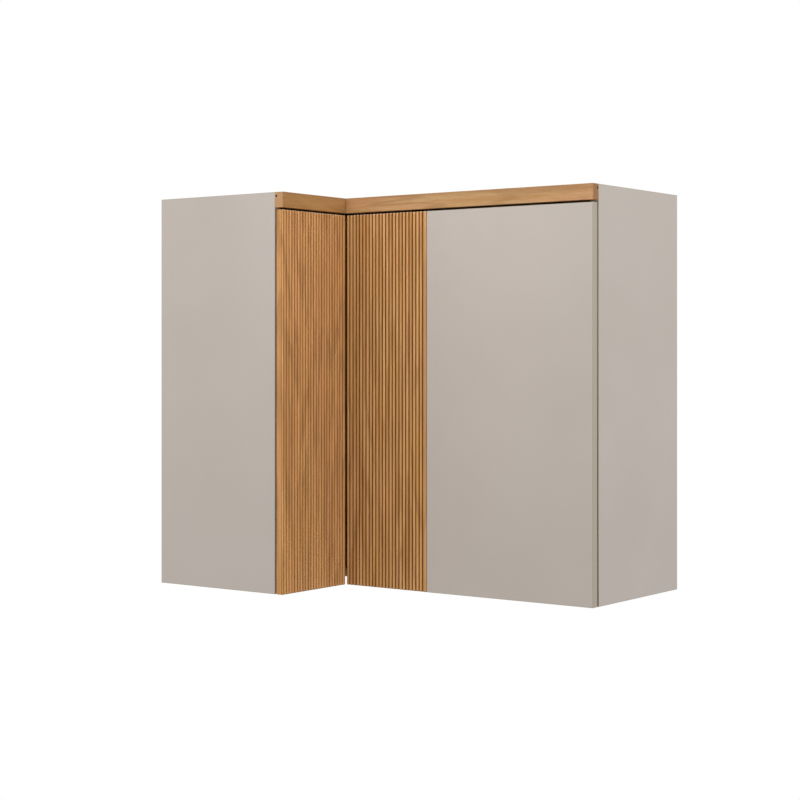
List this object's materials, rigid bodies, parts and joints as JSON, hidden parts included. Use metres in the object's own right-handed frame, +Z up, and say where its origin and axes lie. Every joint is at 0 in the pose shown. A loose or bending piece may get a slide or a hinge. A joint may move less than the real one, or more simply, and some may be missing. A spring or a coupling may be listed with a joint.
{
  "type": "corner kitchen cabinet",
  "caption": "Wall-hung L-shaped corner kitchen cabinet with a hinged ribbed wood door on its short wing, a hinged part-ribbed, part-smooth door on its long wing, and a wood front rail.",
  "frame": {"origin": "bottom centre of the box around the cabinet", "axes": "+Z up, the right wing front faces -Y, the left wing front faces +X, the walls are at +Y and -X"},
  "size_m": [0.8106, 0.467, 0.7],
  "materials": {
    "beige_laminate": "matt warm beige-grey melamine laminate",
    "oak_ribbed": "satin light oak laminate, ribbed, grain upright",
    "oak_rail": "satin light oak laminate, grain along the rail",
    "white_board": "matt white melamine board",
    "beech": "bare beech wood",
    "nickel_steel": "nickel-plated pressed steel",
    "zinc_steel": "bright zinc-plated steel",
    "clear_bumper": "clear soft polyurethane"
  },
  "bodies": {
    "cabinet": {"left_end_panel": "beige_laminate", "right_end_panel": "beige_laminate", "top_panel": "white_board", "bottom_panel": "white_board", "shelf": "white_board", "left_back_panel": "white_board", "right_back_panel": "white_board", "corner_post": "beech", "left_hanging_rail": "white_board", "right_hanging_rail": "white_board", "left_front_rail": "oak_rail", "right_front_rail": "oak_rail", "left_cam_discs": "zinc_steel", "right_cam_discs": "zinc_steel", "left_cam_bolts": "zinc_steel", "right_cam_bolts": "zinc_steel", "left_panel_dowels": "beech", "right_panel_dowels": "beech", "front_rail_dowels": "beech", "rail_corner_dowel": "beech", "shelf_pins": "nickel_steel", "left_back_screws": "zinc_steel", "right_back_screws": "zinc_steel", "hanging_rail_screws": "zinc_steel", "left_hinge_arms": "nickel_steel", "left_hinge_plates": "nickel_steel", "left_plate_screws": "zinc_steel", "left_arm_screws": "zinc_steel", "right_hinge_arms": "nickel_steel", "right_hinge_plates": "nickel_steel", "right_plate_screws": "zinc_steel", "right_arm_screws": "zinc_steel"},
    "left_door": {"left_door_board": "oak_ribbed", "left_hinge_cups": "nickel_steel", "left_hinge_pins": "nickel_steel", "left_cup_screws": "zinc_steel", "left_door_bumpers": "clear_bumper"},
    "right_door": {"right_door_ribbed_board": "oak_ribbed", "right_door_smooth_board": "beige_laminate", "door_cleats": "zinc_steel", "cleat_screws": "zinc_steel", "door_joint_dowels": "beech", "right_hinge_cups": "nickel_steel", "right_hinge_pins": "nickel_steel", "right_cup_screws": "zinc_steel", "right_door_bumpers": "clear_bumper"}
  },
  "joints": [
    {"name": "left_door_hinge", "type": "hinge", "parent": "cabinet", "child": "left_door", "pos_m": [-0.12055, -0.2261, 0.3335], "axis": [0, 0, -1], "range_deg": [0, 95]},
    {"name": "right_door_hinge", "type": "hinge", "parent": "cabinet", "child": "right_door", "pos_m": [0.39785, -0.0512, 0.3335], "axis": [0, 0, 1], "range_deg": [0, 95]}
  ]
}
